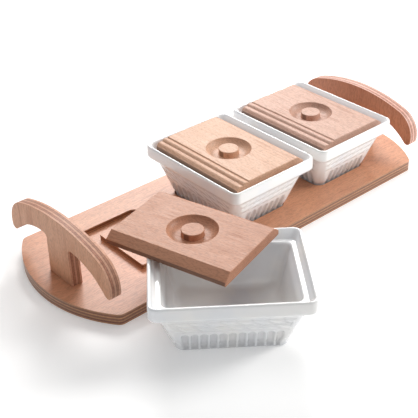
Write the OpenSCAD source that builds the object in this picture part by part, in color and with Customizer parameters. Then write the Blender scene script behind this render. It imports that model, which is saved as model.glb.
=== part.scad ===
// Chip and dip server: a plywood carrying board with two arched handles, three flared
// porcelain dishes that stand in routed seats, and three flat beech lids with a finger well.
// Millimetres, +Z up. The origin is the centre of the board's underside, +X runs along the board.

/* [Board] */
// Overall length of the board, over its two rounded ends
board_len = 478; // [470:1:520]
// Width of the board
board_w = 168; // [164:1:190]
// Thickness of the plywood, for the board and the handles
ply_t = 12; // [12:0.5:15]
// Radius of each rounded end
end_r = 130; // [120:1:160]
// Radius where an end meets a long side
corner_r = 8; // [4:1:14]

/* [Seats] */
// Distance from one dish to the next along the board
seat_pitch = 126; // [124:1:132]
// Depth of the routed seat
seat_depth = 5.5; // [5:0.5:6.5]
// Play between a dish's foot and the wall of its seat
seat_play = 1; // [0.6:0.1:2]
// Length across the board of the island left standing in each seat
island_len = 72; // [60:1:74]
// Width of that island along the board
island_w = 41; // [30:1:43]

/* [Handles] */
// Height of a handle above the board
handle_h = 67; // [66:1:69]
// Span of a handle across the board
handle_span = 166.8; // [166:0.2:168]
// Distance from the board's middle to the middle of a handle
handle_x = 211.5; // [210:0.5:214]
// Width of the post where it stands on the board
post_w = 37.4; // [36:0.2:40]
// Height of the finger gap under the wings
gap_h = 42.7; // [42:0.1:44]
// Radius of the crown
crown_r = 200; // [195:1:205]
// Radius of the shoulders
shoulder_r = 30; // [28:1:32]
// Radius of the round tips
tip_r = 5; // [4:0.5:5.5]

/* [Dishes] */
// Width of a dish over its rim, along the board
dish_w = 115; // [113:1:118]
// Length of a dish over its rim, across the board
dish_len = 145; // [143:1:150]
// Height of a dish
dish_h = 63.5; // [62:0.5:68]
// Width of a dish over its foot
foot_w = 75; // [72:1:77]
// Length of a dish over its foot
foot_len = 103; // [100:1:105]
// Height of the ledge that carries the lid
ledge_z = 55.5; // [54:0.5:56.5]
// Thickness of the floor over the hollow in the foot
floor_t = 5; // [4:0.5:7]
// Turn of the dish that stands in front of the board, in degrees
loose_turn = 52; // [50:1:54]

/* [Lids] */
// Width of a lid
lid_w = 94; // [90:1:95]
// Length of a lid
lid_len = 128; // [122:1:129]
// Thickness of a lid
lid_t = 11; // [10:0.5:12]
// Radius of the finger well
well_r = 24; // [22:0.5:25]
// Depth of the finger well
well_depth = 7; // [6:0.5:8]
// Radius of the knob left standing in the well
knob_r = 10.8; // [9:0.2:12]

/* [Screws] */
// Length of a handle screw
screw_len = 35; // [30:1:45]
// Radius of its shank
shank_r = 2; // [1.75:0.05:2.25]
// Radius of its countersunk head
head_r = 3.8; // [3.5:0.1:4.5]

/* [Hidden] */
$fn = 64;

seat_w = foot_w + 2 * seat_play;
seat_len = foot_len + 2 * seat_play;
seat_floor = ply_t - seat_depth;
seat_corner_r = 10;
island_corner_r = 1.5;

end_c = board_len / 2 - end_r;
fillet_y = board_w / 2 - corner_r;
fillet_x = end_c + sqrt(pow(end_r - corner_r, 2) - pow(fillet_y, 2));
fillet_a = atan2(fillet_y, fillet_x - end_c);

screw_y = 10;
bore_play = 0.2;
pilot_play = 0.02;
head_h = head_r - shank_r;
head_sink = 0.4;
drive_w = 0.9;
drive_len = 4;
drive_depth = 1.6;
point_len = 5;

// The dish and lid in front of the board: where they stand and how they are turned
loose_dish_at = [-132.6, -146.2];
loose_lid_at = [-128.7, -92.8];
loose_lid_turn = 196.3;

// Play between a lid and the step round it, and how the step widens up to the rim's top
lid_play = 1.5;
step_flare = [4.2, 3.6];
// How far a seated dish stands off the middle of its seat, within the seat's play
seat_drift = [0.7, 0.4];
// How far the ledge reaches under a lid
ledge_hold = 3.5;
ledge_ease = 0.8;
// The hollow in a foot clears the island by this much, with a little draft
hollow_gap = 3;
hollow_draft = 1;
hollow_z = seat_depth + 2;
dish_wall = 6.5;

function arc(c, r, a0, a1, n) =
    [for (i = [0:n]) c + r * [cos(a0 + (a1 - a0) * i / n), sin(a0 + (a1 - a0) * i / n)]];

// A convex bead from p to q that stands h proud of the straight line between them
function bead(p, q, h, n) =
    let (d = q - p, side = [d[1], -d[0]] / norm(d))
    [for (i = [1:n]) let (t = i / n) p + d * t + side * 4 * h * t * (1 - t)];

// One ring of a dish: a rounded rectangle of half sizes hx and hy at height z
CORNER_STEPS = 5;
RING = 4 * (CORNER_STEPS + 1);
function ring(hx, hy, r, z) =
    [for (q = [0:3], i = [0:CORNER_STEPS])
        let (a = 90 * q + 90 * i / CORNER_STEPS,
             sx = (q == 0 || q == 3) ? 1 : -1,
             sy = q < 2 ? 1 : -1)
        [sx * (hx - r) + r * cos(a), sy * (hy - r) + r * sin(a), z]];

// The same ring given by its flare: 0 at the rim's outline, 1 at the foot's outline
function flare_ring(f, r, z, wall = 0) =
    ring((dish_w + (foot_w - dish_w) * f) / 2 - wall,
         (dish_len + (foot_len - dish_len) * f) / 2 - wall, r, z);

function dish_rings() = concat(
    // hollow under the floor, which passes over the island in a seat
    [ring(island_w / 2 + hollow_gap, island_len / 2 + hollow_gap, 6, hollow_z)],
    [ring(island_w / 2 + hollow_gap + hollow_draft,
          island_len / 2 + hollow_gap + hollow_draft, 7, 0)],
    // foot and flared wall
    [flare_ring(1.1, 8, 0), flare_ring(1.03, 9, 1.5), flare_ring(1, 9, seat_depth)],
    [flare_ring(0.87, 10, 12), flare_ring(0.69, 10, 24), flare_ring(0.51, 9, 36.5)],
    // underside, face and top of the rim
    [flare_ring(0.37, 8, 44.5), flare_ring(0.23, 8, 47), flare_ring(0.08, 8, 49)],
    [flare_ring(0, 8, 51.5), flare_ring(0, 8, dish_h - 2.6), flare_ring(0.03, 8, dish_h - 0.7)],
    [flare_ring(0.09, 7, dish_h), flare_ring(0.15, 6, dish_h - 0.5)],
    // step and ledge that hold the lid
    [ring(lid_w / 2 + lid_play + step_flare[0],
          lid_len / 2 + lid_play + step_flare[1], 6, dish_h - 2)],
    [ring(lid_w / 2 + lid_play, lid_len / 2 + lid_play, 4, ledge_z)],
    [ring(lid_w / 2 - ledge_hold + ledge_ease,
          lid_len / 2 - ledge_hold + ledge_ease, 6, ledge_z)],
    [ring(lid_w / 2 - ledge_hold, lid_len / 2 - ledge_hold, 7, ledge_z - 1)],
    // inside wall and floor
    [flare_ring(0.53, 9, 37, dish_wall), flare_ring(0.74, 10, 22, dish_wall)],
    [flare_ring(0.8, 11, hollow_z + floor_t + 2.6, dish_wall + 2.4)],
    [flare_ring(0.84, 11, hollow_z + floor_t, dish_wall + 7)]);

module plate_outline() {
    right_end = concat(
        arc([fillet_x, -fillet_y], corner_r, -90, -fillet_a, 6),
        arc([end_c, 0], end_r, -fillet_a, fillet_a, 40),
        arc([fillet_x, fillet_y], corner_r, fillet_a, 90, 6));
    polygon(concat(right_end, [for (p = right_end) -p]));
}

module rounded_rect(w, len, r) {
    square([w - 2 * r, len], center = true);
    square([w, len - 2 * r], center = true);
    for (sx = [-1, 1], sy = [-1, 1])
        translate([sx * (w / 2 - r), sy * (len / 2 - r)]) circle(r);
}

module seat() {
    translate([0, 0, seat_floor])
        difference() {
            linear_extrude(seat_depth + 1)
                rounded_rect(seat_w, seat_len, seat_corner_r);
            translate([0, 0, -1])
                linear_extrude(seat_depth + 3)
                    rounded_rect(island_w, island_len, island_corner_r);
        }
}

// Clearance bore and countersink for one screw, from the underside
module screw_bore() {
    translate([0, 0, -1]) cylinder(r = shank_r + bore_play, h = ply_t + 2);
    translate([0, 0, -1]) cylinder(r = head_r + bore_play, h = 1 + head_sink);
    translate([0, 0, head_sink])
        cylinder(r1 = head_r + bore_play, r2 = shank_r + bore_play, h = head_h);
}

module tray_board() {
    color("burlywood")
        difference() {
            linear_extrude(ply_t) plate_outline();
            for (i = [-1:1]) translate([i * seat_pitch, 0, 0]) seat();
            for (sx = [-1, 1], sy = [-1, 1])
                translate([sx * handle_x, sy * screw_y, 0]) screw_bore();
        }
}

// Front view of a handle: y across the board, z up from the board's top
module handle_outline() {
    post_top = gap_h - tip_r;
    post_taper = 0.7;
    post_side = post_w / 2 - post_taper;
    shoulder_y = handle_span / 2 - shoulder_r;
    crown_c = [0, handle_h - crown_r];
    shoulder_c = crown_c + [shoulder_y, sqrt(pow(crown_r - shoulder_r, 2) - pow(shoulder_y, 2))];
    arch_r = 72;
    arch_c = [post_side + tip_r, gap_h - arch_r];
    // the tip's circle touches the shoulder from inside and the arch from outside
    d = arch_c - shoulder_c;
    to_shoulder = shoulder_r - tip_r;
    to_arch = arch_r + tip_r;
    along = (pow(to_shoulder, 2) - pow(to_arch, 2) + d * d) / (2 * norm(d));
    across = sqrt(pow(to_shoulder, 2) - pow(along, 2));
    tip_c = shoulder_c + (d * along + [-d[1], d[0]] * across) / norm(d);
    arch_a = atan2(tip_c[1] - arch_c[1], tip_c[0] - arch_c[0]);
    shoulder_a = atan2(tip_c[1] - shoulder_c[1], tip_c[0] - shoulder_c[0]);
    crown_a = atan2(shoulder_c[1] - crown_c[1], shoulder_c[0] - crown_c[0]);
    // each arc starts a little past the end of the last, so that no point is doubled
    half = concat(
        [[post_w / 2, 0]],
        arc([post_side + tip_r, post_top], tip_r, 180, 90, 6),
        arc(arch_c, arch_r, 90 - 3, arch_a, 12),
        arc(tip_c, tip_r, arch_a + 180, 360 + shoulder_a, 10),
        arc(shoulder_c, shoulder_r, shoulder_a + 6, crown_a, 14),
        arc(crown_c, crown_r, crown_a + 2, 90 - 1, 8));
    last = len(half) - 1;
    polygon(concat(half, [for (i = [0:last]) [-half[last - i][0], half[last - i][1]]]));
}

module handle(x) {
    color("peru")
        difference() {
            translate([x - ply_t / 2, 0, ply_t])
                rotate([90, 0, 90]) linear_extrude(ply_t) handle_outline();
            for (sy = [-1, 1])
                translate([x, sy * screw_y, head_sink])
                    screw_shank(shank_r + pilot_play, screw_len);
        }
}

module screw_shank(r, len) {
    cylinder(r = r, h = len - point_len);
    translate([0, 0, len - point_len]) cylinder(r1 = r, r2 = 0.4, h = point_len);
}

module handle_screw(x, y) {
    color("silver")
        translate([x, y, head_sink])
            difference() {
                union() {
                    cylinder(r1 = head_r, r2 = shank_r, h = head_h);
                    screw_shank(shank_r, screw_len);
                }
                for (a = [0, 90])
                    rotate([0, 0, a])
                        translate([-drive_len / 2, -drive_w / 2, -1])
                            cube([drive_len, drive_w, 1 + drive_depth]);
            }
}

// A dish is one skin of stacked rings, closed by the floor and by the hollow's ceiling
module dish() {
    rings = dish_rings();
    count = len(rings);
    points = [for (r = rings) each r];
    sides = [for (k = [0:count - 2], i = [0:RING - 1])
        let (j = (i + 1) % RING, a = k * RING, b = a + RING)
        each [[a + i, b + i, b + j], [a + i, b + j, a + j]]];
    ceiling = [for (i = [0:RING - 1]) i];
    floor_ring = [for (i = [0:RING - 1]) count * RING - 1 - i];
    color("white") polyhedron(points, concat(sides, [ceiling, floor_ring]));
}

module front_dish() {
    translate([loose_dish_at[0], loose_dish_at[1], 0]) rotate([0, 0, loose_turn]) dish();
}

module seated_dish(i) {
    translate([i * seat_pitch + seat_drift[i], 0, seat_floor]) dish();
}

// Side view of a lid: a plain bevel runs down to one edge, and two beads or a second bevel to
// the other
module lid_outline(reeded) {
    edge = lid_w / 2;
    bevel_w = 8.6;
    bevel_h = 6;
    reeded_w = 16.4;
    groove = [-1.4, -1.5];
    first_bead = [-7.4, -1.2];
    first_bead_h = 1.9;
    second_bead_h = 2.2;
    reeded_edge_h = 4.6;
    lip = [reeded_w - edge, lid_t];
    first = lip + groove;
    second = first + first_bead;
    foot = [-edge, reeded_edge_h];
    beads = concat([lip, first],
        bead(first, second, first_bead_h, 6),
        bead(second, foot, second_bead_h, 8));
    bevel = [[bevel_w - edge, lid_t], [-edge, lid_t - bevel_h]];
    polygon(concat(
        [[-edge, 0], [edge, 0], [edge, lid_t - bevel_h], [edge - bevel_w, lid_t]],
        reeded ? beads : bevel));
}

// The well is swept round the knob, with a hollow curve from its floor to its lip
module well() {
    cove_r = 10.5;
    well_floor = lid_t - well_depth;
    cove_a = acos((cove_r - well_depth) / cove_r);
    cove_c = [well_r - cove_r * sin(cove_a), well_floor + cove_r];
    rotate_extrude($fn = 96)
        polygon(concat(
            [[knob_r, lid_t + 1], [knob_r, well_floor]],
            arc(cove_c, cove_r, 270, 270 + cove_a, 12),
            [[well_r, lid_t + 1]]));
}

module lid(reeded = true) {
    color("tan")
        difference() {
            translate([0, lid_len / 2, 0])
                rotate([90, 0, 0]) linear_extrude(lid_len) lid_outline(reeded);
            well();
        }
}

module front_lid() {
    translate([loose_lid_at[0], loose_lid_at[1], dish_h]) rotate([0, 0, loose_lid_turn]) lid(false);
}

module seated_lid(i) {
    translate([i * seat_pitch + seat_drift[i], 0, seat_floor + ledge_z]) lid();
}

tray_board();
handle(-handle_x);  // left_handle
handle(handle_x);  // right_handle
handle_screw(-handle_x, -screw_y);  // left_handle_screw_near
handle_screw(-handle_x, screw_y);  // left_handle_screw_far
handle_screw(handle_x, -screw_y);  // right_handle_screw_near
handle_screw(handle_x, screw_y);  // right_handle_screw_far
front_dish();
seated_dish(0);  // middle_dish
seated_dish(1);  // right_dish
front_lid();
seated_lid(0);  // middle_lid
seated_lid(1);  // right_lid
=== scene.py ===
import math

import bmesh
import bpy
from mathutils import Matrix, Vector


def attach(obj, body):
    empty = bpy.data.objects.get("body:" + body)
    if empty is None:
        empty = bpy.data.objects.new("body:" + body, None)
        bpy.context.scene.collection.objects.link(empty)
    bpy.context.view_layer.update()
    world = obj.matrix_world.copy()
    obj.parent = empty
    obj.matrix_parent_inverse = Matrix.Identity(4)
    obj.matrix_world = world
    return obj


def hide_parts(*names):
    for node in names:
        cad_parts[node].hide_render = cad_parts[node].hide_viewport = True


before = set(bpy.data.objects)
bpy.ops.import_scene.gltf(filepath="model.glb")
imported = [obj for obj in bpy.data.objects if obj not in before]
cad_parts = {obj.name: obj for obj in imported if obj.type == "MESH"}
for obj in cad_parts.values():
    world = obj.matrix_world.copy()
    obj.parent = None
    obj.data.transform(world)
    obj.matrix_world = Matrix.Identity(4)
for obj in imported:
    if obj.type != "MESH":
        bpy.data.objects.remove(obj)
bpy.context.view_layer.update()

MM = 0.001


def metres(*lengths):
    return tuple(c * MM for c in lengths)


# ---------------------------------------------------------------- node helpers


class Nodes:
    """Builds one material's node tree with short calls."""

    def __init__(self, name):
        self.mat = bpy.data.materials.new(name)
        self.mat.use_nodes = True
        self.tree = self.mat.node_tree
        self.bsdf = self.tree.nodes["Principled BSDF"]

    def add(self, kind, **sockets):
        node = self.tree.nodes.new(kind)
        for key, value in sockets.items():
            self.put(node.inputs[key], value)
        return node

    def put(self, socket, value):
        if isinstance(value, bpy.types.NodeSocket):
            self.tree.links.new(value, socket)
        else:
            socket.default_value = value

    def math(self, op, a, b=0.0):
        node = self.tree.nodes.new("ShaderNodeMath")
        node.operation = op
        self.put(node.inputs[0], a)
        self.put(node.inputs[1], b)
        return node.outputs[0]

    def ramp(self, value, stops):
        node = self.tree.nodes.new("ShaderNodeValToRGB")
        ramp = node.color_ramp
        ramp.interpolation = "EASE"
        while len(ramp.elements) < len(stops):
            ramp.elements.new(0.5)
        for element, (at, colour) in zip(ramp.elements, stops):
            element.position = at
            if not isinstance(colour, tuple):
                colour = (colour, colour, colour)
            element.color = (*colour, 1)
        self.put(node.inputs[0], value)
        return node.outputs[0]

    def mix(self, factor, a, b):
        node = self.tree.nodes.new("ShaderNodeMix")
        node.data_type = "RGBA"
        self.put(node.inputs[0], factor)
        for socket, value in ((node.inputs[6], a), (node.inputs[7], b)):
            if isinstance(value, tuple):
                value = (*value, 1)
            self.put(socket, value)
        return node.outputs[2]

    def noise(self, vector, detail=4.0, rough=0.55, distortion=0.0):
        """Noise at scale 1, so that the mapping before it sets the size of its cells."""
        node = self.add("ShaderNodeTexNoise", Scale=1.0, Detail=detail,
                        Roughness=rough, Distortion=distortion, Vector=vector)
        return node.outputs[0]

    def mapped(self, vector, scale, move=(0, 0, 0)):
        node = self.add("ShaderNodeMapping", Vector=vector, Scale=scale, Location=move)
        return node.outputs[0]

    def local_normal(self, axis):
        normal = self.add("ShaderNodeNewGeometry").outputs["Normal"]
        turn = self.add("ShaderNodeVectorTransform", Vector=normal)
        turn.vector_type = "NORMAL"
        turn.convert_from = "WORLD"
        turn.convert_to = "OBJECT"
        return self.add("ShaderNodeSeparateXYZ", Vector=turn.outputs[0]).outputs[axis]

    def bump(self, height, distance, strength):
        node = self.add("ShaderNodeBump", Height=height, Distance=distance, Strength=strength)
        return node.outputs[0]


def srgb(r, g, b):
    """A colour seen as 0 to 255 values, as the linear colour a shader takes."""
    def one(v):
        v /= 255
        return v / 12.92 if v <= 0.04045 else ((v + 0.055) / 1.055) ** 2.4
    return (one(r), one(g), one(b))


def darker(colour, part):
    return tuple(c * part for c in colour)


def tones(r, g, b):
    """Pale, middle and dark tones of one timber from its middle colour as seen."""
    mid = srgb(r, g, b)
    pale = tuple(min(0.93, c * k) for c, k in zip(mid, (1.16, 1.22, 1.26)))
    dark = tuple(c * k for c, k in zip(mid, (0.74, 0.62, 0.55)))
    return pale, mid, dark


# ---------------------------------------------------------------- materials

# How deep each surface's relief is, in metres
GRAIN_DEPTH = 0.12 * MM
GLAZE_DEPTH = 0.12 * MM
PLATING_DEPTH = 0.04 * MM


def stretched(across, along, grain):
    """Cells to the metre across the grain on two axes, and along it on the third."""
    scale = [across] * 3
    scale[grain] = along
    return tuple(scale)


def beech(name, pale, mid, dark, grain, layers=None, seed=0.0, edge=None, lacquer=0.1):
    """Lacquered beech. grain is the axis the fibres run along (0, 1 or 2).
    layers is (axis, start, pitch) in metres: plywood plies that show on every face which is
    not square to that axis. edge gives the light ply, the dark ply and the glue line, and
    lacquer is how much gloss lies over the wood."""
    n = Nodes(name)
    place = n.add("ShaderNodeTexCoord").outputs["Object"]
    fine = stretched(900.0, 40.0, grain)
    broad = stretched(150.0, 9.0, grain)
    short = stretched(1100.0, 240.0, grain)
    shift = (seed, seed * 0.7, seed * 1.3)
    wide = n.noise(n.mapped(place, broad, shift), 3.0, 0.5, 0.6)
    fibre = n.noise(n.mapped(place, fine, shift), 5.0, 0.65)
    patch = n.noise(n.mapped(place, (9, 9, 9), shift), 2.0, 0.5)
    flecks = n.noise(n.mapped(place, short, shift), 2.0, 0.5)
    tone = n.math("ADD", n.math("MULTIPLY", wide, 0.25), n.math("MULTIPLY", fibre, 0.5))
    tone = n.math("ADD", tone, n.math("MULTIPLY", patch, 0.25))
    face = n.ramp(tone, [(0.34, dark), (0.52, mid), (0.7, pale)])
    fleck = n.ramp(flecks, [(0.4, 1.0), (0.5, 0.0)])
    face = n.mix(n.math("MULTIPLY", fleck, 0.42), face, darker(mid, 0.55))
    pore = n.ramp(fibre, [(0.3, 0.0), (0.46, 1.0)])
    height = n.math("ADD", n.math("MULTIPLY", pore, 0.6), n.math("MULTIPLY", wide, 0.4))
    rough = n.ramp(fibre, [(0.3, 0.56), (0.7, 0.42)])
    if layers:
        axis, start, pitch = layers
        light, deep, glue = edge
        split = n.add("ShaderNodeSeparateXYZ", Vector=place)
        along = n.math("DIVIDE", n.math("SUBTRACT", split.outputs[axis], start), pitch)
        drift = n.math("SUBTRACT", n.noise(n.mapped(place, (60, 60, 60))), 0.5)
        wobble = n.math("MULTIPLY", drift, 0.25)
        along = n.math("ADD", along, wobble)
        whole = n.math("FLOOR", along)
        part = n.math("SUBTRACT", along, whole)
        odd = n.math("MODULO", n.math("ADD", whole, 40.0), 2.0)
        streak = n.noise(n.mapped(place, (420, 420, 420), shift), 3.0, 0.6)
        end_grain = n.mix(n.ramp(streak, [(0.35, 0.9), (0.65, 0.0)]), deep, darker(deep, 0.6))
        long_grain = n.mix(n.ramp(streak, [(0.35, 0.8), (0.65, 0.0)]), light, darker(light, 0.7))
        plies = n.mix(odd, long_grain, end_grain)
        shade = n.tree.nodes.new("ShaderNodeTexWhiteNoise")
        shade.noise_dimensions = "1D"
        n.put(shade.inputs["W"], whole)
        plies = n.mix(n.math("MULTIPLY", shade.outputs[0], 0.45), plies, darker(light, 0.55))
        line = n.math("ABSOLUTE", n.math("SUBTRACT", part, 0.5))
        line = n.ramp(line, [(0.4, 0.0), (0.46, 1.0)])
        plies = n.mix(n.math("MULTIPLY", line, 0.7), plies, glue)
        square = n.math("ABSOLUTE", n.local_normal(axis))
        on_face = n.ramp(square, [(0.5, 0.0), (0.75, 1.0)])
        colour = n.mix(on_face, plies, face)
        groove = n.math("SUBTRACT", 1.0, line)
        height = n.mix(on_face, groove, height)
    else:
        # painted shade: the two long upright edges of a lid, the faces that look along its x axis,
        # are coloured darker than its top to stand for the shade on them
        edge_shade_facing = n.math("ABSOLUTE", n.local_normal(0))
        colour = n.mix(n.ramp(edge_shade_facing, [(0.93, 0.0), (0.99, 0.85)]), face, darker(mid, 0.3))
    n.put(n.bsdf.inputs["Base Color"], colour)
    n.put(n.bsdf.inputs["Roughness"], rough)
    n.put(n.bsdf.inputs["Normal"], n.bump(height, GRAIN_DEPTH, 0.5))
    n.bsdf.inputs["Specular IOR Level"].default_value = 0.3
    n.bsdf.inputs["Coat Weight"].default_value = lacquer
    n.bsdf.inputs["Coat Roughness"].default_value = 0.42
    return n.mat


def porcelain():
    n = Nodes("porcelain_glaze")
    place = n.add("ShaderNodeTexCoord").outputs["Object"]
    pool = n.noise(n.mapped(place, (26, 26, 26)), 2.0, 0.5)
    speck = n.noise(n.mapped(place, (650, 650, 650)), 2.0, 0.5)
    tint = n.ramp(pool, [(0.35, srgb(238, 240, 243)), (0.65, srgb(246, 245, 243))])
    tint = n.mix(n.ramp(speck, [(0.74, 0.0), (0.8, 0.25)]), tint, srgb(206, 200, 192))
    # painted shade: the glaze is tinted grey in the hollows of the flutes and between the garland
    # leaves
    hollow_shade = n.tree.nodes.new("ShaderNodeAttribute")
    hollow_shade.attribute_name = "hollow"
    tint = n.mix(n.math("MULTIPLY", hollow_shade.outputs["Fac"], 0.28), tint, srgb(192, 190, 192))
    dimple = n.noise(n.mapped(place, (210, 210, 210)), 2.0, 0.5)
    n.put(n.bsdf.inputs["Base Color"], tint)
    n.put(n.bsdf.inputs["Roughness"], n.ramp(pool, [(0.3, 0.2), (0.7, 0.11)]))
    n.put(n.bsdf.inputs["Normal"], n.bump(dimple, GLAZE_DEPTH, 0.35))
    n.bsdf.inputs["Coat Weight"].default_value = 0.6
    n.bsdf.inputs["Coat Roughness"].default_value = 0.06
    n.bsdf.inputs["IOR"].default_value = 1.5
    return n.mat


def screw_steel():
    n = Nodes("screw_zinc")
    place = n.add("ShaderNodeTexCoord").outputs["Object"]
    wear = n.noise(n.mapped(place, (900, 900, 900)), 4.0, 0.6)
    tint = n.ramp(wear, [(0.35, srgb(150, 150, 146)), (0.65, srgb(196, 196, 194))])
    n.put(n.bsdf.inputs["Base Color"], tint)
    n.put(n.bsdf.inputs["Roughness"], n.ramp(wear, [(0.3, 0.5), (0.7, 0.3)]))
    n.put(n.bsdf.inputs["Normal"], n.bump(wear, PLATING_DEPTH, 0.5))
    n.bsdf.inputs["Metallic"].default_value = 1.0
    return n.mat


def white_floor():
    n = Nodes("pale_floor")
    place = n.add("ShaderNodeTexCoord").outputs["Object"]
    cloud = n.noise(n.mapped(place, (3, 3, 3)), 2.0, 0.5)
    n.put(n.bsdf.inputs["Base Color"], n.ramp(cloud, [(0.3, 0.93), (0.7, 0.96)]))
    n.bsdf.inputs["Roughness"].default_value = 0.85
    n.bsdf.inputs["Specular IOR Level"].default_value = 0.1
    n.bsdf.inputs["Emission Color"].default_value = (1, 1, 1, 1)
    n.bsdf.inputs["Emission Strength"].default_value = 0.18
    return n.mat


# ---------------------------------------------------------------- pieces


# Points this close are welded, and faces this near to flat are merged
WELD = 2e-6
FLAT_ANGLE = math.radians(0.3)
# Edges sharper than this are eased
ARRIS_ANGLE = math.radians(32)


def joinery(name, node, material, body, round_mm, turn=None, at=None):
    """The wooden piece with the shape of a CAD node, its triangles merged into clean faces and
    every arris eased. turn and at put the piece's own axes along its grain."""
    bm = bmesh.new()
    bm.from_mesh(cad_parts[node].data)
    bmesh.ops.remove_doubles(bm, verts=bm.verts, dist=WELD)
    bmesh.ops.dissolve_limit(bm, angle_limit=FLAT_ANGLE, verts=bm.verts, edges=bm.edges)
    back = Matrix.Identity(4)
    if turn is not None:
        back = Matrix.Translation(Vector(at)) @ Matrix.Rotation(turn, 4, "Z")
        bm.transform(back.inverted())
    mesh = bpy.data.meshes.new(name)
    bm.to_mesh(mesh)
    bm.free()
    mesh.shade_smooth()
    piece = bpy.data.objects.new(name, mesh)
    bpy.context.scene.collection.objects.link(piece)
    mesh.materials.append(material)
    piece.matrix_world = back
    ease = piece.modifiers.new("eased_arris", "BEVEL")
    ease.width = round_mm * MM
    ease.segments = 3
    ease.limit_method = "ANGLE"
    ease.angle_limit = ARRIS_ANGLE
    ease.harden_normals = False
    ease.use_clamp_overlap = True
    flat = piece.modifiers.new("face_normals", "WEIGHTED_NORMAL")
    flat.keep_sharp = False
    flat.weight = 80
    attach(piece, body)
    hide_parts(node)


# A dish, in millimetres, standing on z = 0. Half sizes of the rim and of the foot:
RIM = (57.5, 72.5)
FOOT = (37.5, 51.5)
# Points round each corner and along each long and short side, and how far apart the rings of
# points stand on the decorated wall and inside
CORNER_STEPS = 9
LONG_STEPS = 150
SHORT_STEPS = 112
OUTER_STEP = 0.85
INNER_STEP = 2.2
# Flutes: how many and how far apart on each side, then the height, the depth, how much the
# head is rounded and how far a flute takes to fade out
LONG_FLUTES = (11, 8.3)
SHORT_FLUTES = (7, 8.2)
FLUTE_TOP = 23.5
FLUTE_DEEP = 2.4
FLUTE_ROUND = 3.0
FLUTE_FADE = 1.8
# The garland: where it begins and ends, how far it is sunk, then its leaves and their rows,
# each row given by its height and its shift along the side
GARLAND_FOOT = 26.5
GARLAND_HEAD = 43.5
GARLAND_INSET = 0.15
LEAF_PITCH = 13.5
LEAF_LEN = 18.0
LEAF_RISE = 7.0
LEAF_HIGH = 0.75
LEAF_HALF = 2.6
LEAF_ROWS = ((30.5, 0.0), (37.5, 6.7))


def flared(f, inset=0.0):
    return tuple(r + (b - r) * f - inset for r, b in zip(RIM, FOOT))


def smooth(a, b, x):
    t = min(1.0, max(0.0, (x - a) / (b - a)))
    return t * t * (3 - 2 * t)


def blend_rows(rows, step):
    """Fills in rows (z, hx, hy, r) with a smooth curve so that neighbours are about step apart."""
    out = []
    for k in range(len(rows) - 1):
        p0, p1, p2, p3 = (rows[max(0, min(len(rows) - 1, k + d))] for d in (-1, 0, 1, 2))
        span = math.hypot(p2[0] - p1[0], p2[1] - p1[1])
        count = max(1, round(span / step))
        for i in range(count):
            t = i / count
            out.append(tuple(
                0.5 * ((2 * b) + (c - a) * t + (2 * a - 5 * b + 4 * c - d) * t * t
                       + (3 * b - a - 3 * c + d) * t ** 3)
                for a, b, c, d in zip(p0, p1, p2, p3)))
    out.append(rows[-1])
    return out


def relief(s, z, flutes, pitch):
    """How far the outer wall stands in from its skin at s along a side and z above the foot,
    and how much of a hollow it is there, from 0 to 1."""
    depth = 0.0
    hollow = 0.0
    reach = flutes * pitch / 2
    if abs(s) < reach and z < FLUTE_TOP + 1:
        u = (s + reach) / pitch
        across = abs(u - math.floor(u) - 0.5) * 2
        # a flute is a shallow trough with a rounded head, and a narrow land stands on each side
        head = FLUTE_TOP - FLUTE_ROUND * across * across
        trough = 1 - smooth(0.45, 0.92, across)
        hollow = trough * (1 - smooth(head - FLUTE_FADE, head, z)) * smooth(0.0, FLUTE_FADE, z)
        depth += FLUTE_DEEP * hollow
    # the garland above it: long leaves that overlap and rise gently
    if GARLAND_FOOT < z < GARLAND_HEAD:
        best = 0.0
        for base, shift in LEAF_ROWS:
            first = math.floor((s - shift) / LEAF_PITCH)
            for k in (first, first - 1):
                u = (s - shift - k * LEAF_PITCH) / LEAF_LEN
                if 0 < u < 1:
                    mid = base + LEAF_RISE * (u - 0.5) + 0.9 * math.sin(2 * math.pi * u)
                    half = LEAF_HALF * math.sin(math.pi * u) ** 0.7
                    best = max(best, 1 - ((z - mid) / half) ** 2 if half > 0.2 else 0.0)
        leaf = math.sqrt(max(0.0, best))
        depth += GARLAND_INSET - LEAF_HIGH * leaf
        hollow = max(hollow, 0.35 * (1 - smooth(0.0, 0.6, leaf)))
    return depth, hollow


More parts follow.
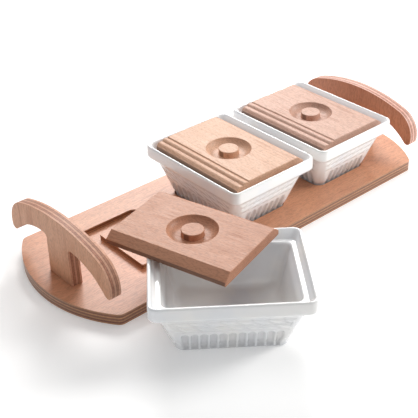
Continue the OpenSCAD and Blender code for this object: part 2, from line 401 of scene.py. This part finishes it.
def dish_mesh(name):
    """The whole dish as rings of points. A row is (z, half x, half y, corner radius)."""
    outer = blend_rows([
        (0.0, *flared(1.1), 8.0), (0.5, *flared(1.06), 8.2), (1.5, *flared(1.03), 8.6),
        (6.0, *flared(1.0), 9.0), (12.0, *flared(0.87), 10.0), (24.0, *flared(0.69), 10.0),
        (36.5, *flared(0.51), 9.0), (44.5, *flared(0.37), 8.5), (47.0, *flared(0.23), 8.0),
        (49.0, *flared(0.08), 8.0), (50.1, *flared(0.03), 8.0), (51.5, *flared(0.0), 8.0)],
        OUTER_STEP)
    rim = [
        (53.5, *flared(0.0), 8.0), (56.5, *flared(0.002), 8.0), (60.3, *flared(0.004), 8.0),
        (61.7, *flared(0.012), 7.9), (62.7, *flared(0.03), 7.6), (63.3, *flared(0.055), 7.2),
        (63.5, *flared(0.085), 6.8), (63.4, *flared(0.115), 6.4), (63.0, *flared(0.145), 6.0),
        (62.3, *flared(0.175), 6.0), (61.3, 52.6, 68.9, 6.0), (59.0, 50.6, 67.3, 5.4),
        (56.3, 48.75, 65.75, 4.6), (55.7, 48.3, 65.3, 4.4), (55.5, 47.6, 64.6, 4.4),
        (55.5, 46.0, 63.0, 5.0), (55.45, 44.8, 61.8, 6.0), (55.1, 44.0, 61.0, 6.6),
        (54.3, 43.5, 60.5, 7.0)]
    inner = blend_rows([
        (53.0, 43.2, 60.2, 7.2), (46.0, *flared(0.43, 6.3), 8.0), (37.0, *flared(0.53, 6.5), 9.0),
        (22.0, *flared(0.74, 6.5), 10.0), (17.0, *flared(0.79, 7.6), 11.0),
        (14.0, *flared(0.815, 10.0), 12.0), (12.8, *flared(0.83, 13.0), 12.0),
        (12.5, *flared(0.84, 17.0), 12.0)], INNER_STEP)
    under = [(7.5, 23.5, 39.0, 6.0), (7.1, 23.9, 39.4, 6.2), (4.0, 24.2, 39.7, 6.6),
             (0.8, 24.5, 40.0, 7.0), (0.0, 25.3, 40.8, 7.6)]
    sole = [(0.0, *flared(1.16), 8.0)]
    rows = [(r, False) for r in under + sole] + [(r, True) for r in outer]
    rows += [(r, False) for r in rim + inner]
    points = []
    hollows = []
    # each point of a ring: its quarter, its part of the way along a side or None in a corner,
    # the signs of x and y, and its angle round the corner
    plan = []
    for q in range(4):
        sx = 1 if q in (0, 3) else -1
        sy = 1 if q < 2 else -1
        for i in range(CORNER_STEPS):
            plan.append((q, None, sx, sy, math.radians(90 * q + 90 * i / CORNER_STEPS)))
        steps = SHORT_STEPS if q in (0, 2) else LONG_STEPS
        for i in range(steps):
            plan.append((q, i / steps, sx, sy, 0.0))
    for (z, hx, hy, r), decorated in rows:
        for q, t, sx, sy, a in plan:
            if t is None:
                points.append((sx * (hx - r) + r * math.cos(a), sy * (hy - r) + r * math.sin(a), z))
                hollows.append(0.0)
                continue
            along_x = q in (0, 2)
            reach = (hx if along_x else hy) - r
            s = reach * (1 - 2 * t)
            face = hy if along_x else hx
            hollow = 0.0
            if decorated:
                flutes = SHORT_FLUTES if along_x else LONG_FLUTES
                depth, hollow = relief(s if q in (0, 1) else -s, z, *flutes)
                face -= depth
            hollows.append(hollow)
            if q == 0:
                points.append((s, face, z))
            elif q == 1:
                points.append((-face, s, z))
            elif q == 2:
                points.append((-s, -face, z))
            else:
                points.append((face, -s, z))
    ring = len(plan)
    faces = []
    for k in range(len(rows) - 1):
        for i in range(ring):
            j = (i + 1) % ring
            faces.append((k * ring + i, (k + 1) * ring + i, (k + 1) * ring + j, k * ring + j))
    faces.append(tuple(range(ring)))
    faces.append(tuple(range(len(points) - 1, len(points) - ring - 1, -1)))
    mesh = bpy.data.meshes.new(name)
    mesh.from_pydata([metres(*p) for p in points], [], faces)
    # this hollow mask sets where the glaze takes its painted shade
    mesh.attributes.new("hollow", "FLOAT", "POINT").data.foreach_set("value", hollows)
    bm = bmesh.new()
    bm.from_mesh(mesh)
    bmesh.ops.recalc_face_normals(bm, faces=bm.faces)
    bm.to_mesh(mesh)
    bm.free()
    mesh.validate()
    mesh.shade_smooth()
    return mesh


# Plywood: its thickness, the plies in it, and where a handle's first ply begins
PLY_T = 12 * MM
BOARD_PLIES = 7
HANDLE_PLIES = 5
HANDLE_FACE_X = -217.5 * MM

board_wood = beech("board_beech_ply", *tones(206, 145, 110), 0, (2, 0.0, PLY_T / BOARD_PLIES), 1.7,
                   (srgb(196, 140, 98), srgb(134, 80, 54), srgb(74, 36, 22)), 0.7)
left_wood = beech("left_handle_beech_ply", *tones(212, 157, 124), 2,
                  (0, HANDLE_FACE_X, PLY_T / HANDLE_PLIES), 4.1,
                  (srgb(222, 170, 142), srgb(178, 122, 98), srgb(92, 48, 34)))
# the right handle is the same beech ply as the left: its ply edges are coloured lighter, painted
# light from the lamp on the right, and its face is coloured darker
right_wood_painted_light = beech("right_handle_beech_ply", *tones(194, 129, 97), 2,
                   (0, HANDLE_FACE_X, PLY_T / HANDLE_PLIES), 6.3,
                   (srgb(238, 192, 174), srgb(204, 148, 130), srgb(112, 60, 44)))
lid_far = beech("lid_beech_pink", *tones(200, 161, 143), 1, seed=2.3)
lid_mid = beech("lid_beech_pale", *tones(207, 165, 138), 1, seed=5.9)
lid_near = beech("lid_beech_tan", *tones(184, 131, 103), 1, seed=8.4)
glaze = porcelain()
zinc = screw_steel()

joinery("board", "tray_board", board_wood, "tray", 0.7)
joinery("handle_left", "left_handle", left_wood, "tray", 0.8)
joinery("handle_right", "right_handle", right_wood_painted_light, "tray", 0.8)
for node in ("left_handle_screw_near", "left_handle_screw_far",
             "right_handle_screw_near", "right_handle_screw_far"):
    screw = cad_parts[node]
    screw.data.materials.clear()
    screw.data.materials.append(zinc)

# Where the lids and dishes stand, in millimetres, and how the loose pair is turned
LOOSE_LID_AT = (-128.7, -92.8, 0)
LOOSE_LID_TURN = math.radians(196.3)
LOOSE_DISH_AT = (-132.6, -146.2, 0)
LOOSE_DISH_TURN = math.radians(52)
MIDDLE_X = 0.7
RIGHT_X = 126.4
SEAT_FLOOR = 6.5
joinery("lid_front", "front_lid", lid_near, "front_lid", 0.7,
        LOOSE_LID_TURN, metres(*LOOSE_LID_AT))
joinery("lid_middle", "middle_lid", lid_mid, "middle_lid", 0.7, 0.0,
        metres(MIDDLE_X, 0, 0))
joinery("lid_right", "right_lid", lid_far, "right_lid", 0.7, 0.0,
        metres(RIGHT_X, 0, 0))

shape = dish_mesh("dish_shape")
shape.materials.append(glaze)
for name, node, place, turn in (
        ("dish_front", "front_dish", LOOSE_DISH_AT, LOOSE_DISH_TURN),
        ("dish_middle", "middle_dish", (MIDDLE_X, 0, SEAT_FLOOR), 0.0),
        ("dish_right", "right_dish", (RIGHT_X, 0, SEAT_FLOOR), 0.0)):
    mesh = shape
    if turn:
        mesh = shape.copy()
        mesh.transform(Matrix.Rotation(turn, 4, "Z"))
    dish = bpy.data.objects.new(name, mesh)
    bpy.context.scene.collection.objects.link(dish)
    dish.matrix_world = Matrix.Translation(Vector(place) * MM)
    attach(dish, node)
    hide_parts(node)

# ---------------------------------------------------------------- stage, light, camera

floor_mesh = bpy.data.meshes.new("floor")
REACH = 6.0
floor_mesh.from_pydata(
    [(-REACH, -REACH, 0), (REACH, -REACH, 0), (REACH, REACH, 0), (-REACH, REACH, 0)],
    [], [(0, 1, 2, 3)])
floor = bpy.data.objects.new("floor", floor_mesh)
bpy.context.scene.collection.objects.link(floor)
floor_mesh.materials.append(white_floor())


def soft_box(name, at, aim, size, power, tint):
    light = bpy.data.lights.new(name, "AREA")
    light.shape = "RECTANGLE"
    light.size, light.size_y = size
    light.energy = power
    light.color = tint
    lamp = bpy.data.objects.new(name, light)
    bpy.context.scene.collection.objects.link(lamp)
    lamp.location = at
    lamp.rotation_euler = (Vector(aim) - Vector(at)).to_track_quat("-Z", "Y").to_euler()


# a broad light overhead, one behind for the sheen on the tops, one from the right
soft_box("top", (0.1, 0.2, 1.5), (0, 0, 0.03), (1.1, 1.1), 6, (1.0, 0.99, 0.98))
soft_box("back", (0.75, 0.95, 1.0), (0, 0, 0.03), (0.8, 0.5), 19, (1.0, 0.985, 0.97))
soft_box("right", (1.15, -0.75, 0.75), (0.02, 0, 0.04), (0.5, 0.5), 15, (1.0, 0.99, 0.97))

world = bpy.data.worlds.new("studio")
bpy.context.scene.world = world
world.use_nodes = True
background = world.node_tree.nodes["Background"]
background.inputs["Color"].default_value = (0.98, 0.99, 1, 1)
background.inputs["Strength"].default_value = 0.36

cam = bpy.data.cameras.new("camera")
camera = bpy.data.objects.new("camera", cam)
bpy.context.scene.collection.objects.link(camera)
CAMERA_AT = (-0.5656, -0.6228, 0.5345)
azimuth, elevation, roll = math.radians(49.22), math.radians(32.58), -0.0186
look = Vector((math.cos(azimuth) * math.cos(elevation),
               math.sin(azimuth) * math.cos(elevation), -math.sin(elevation)))
right = Vector((math.sin(azimuth), -math.cos(azimuth), 0))
up = right.cross(look)
right, up = (math.cos(roll) * right + math.sin(roll) * up,
             math.cos(roll) * up - math.sin(roll) * right)
turned = Matrix((right, up, -look)).transposed().to_4x4()
camera.matrix_world = Matrix.Translation(CAMERA_AT) @ turned
SENSOR = 36
# the focal length as a multiple of the sensor's width
FOCAL = 2.16710526
cam.sensor_width = SENSOR
cam.lens = FOCAL * SENSOR
cam.clip_start = 0.05
bpy.context.scene.camera = camera
bpy.context.scene.view_settings.view_transform = "Standard"
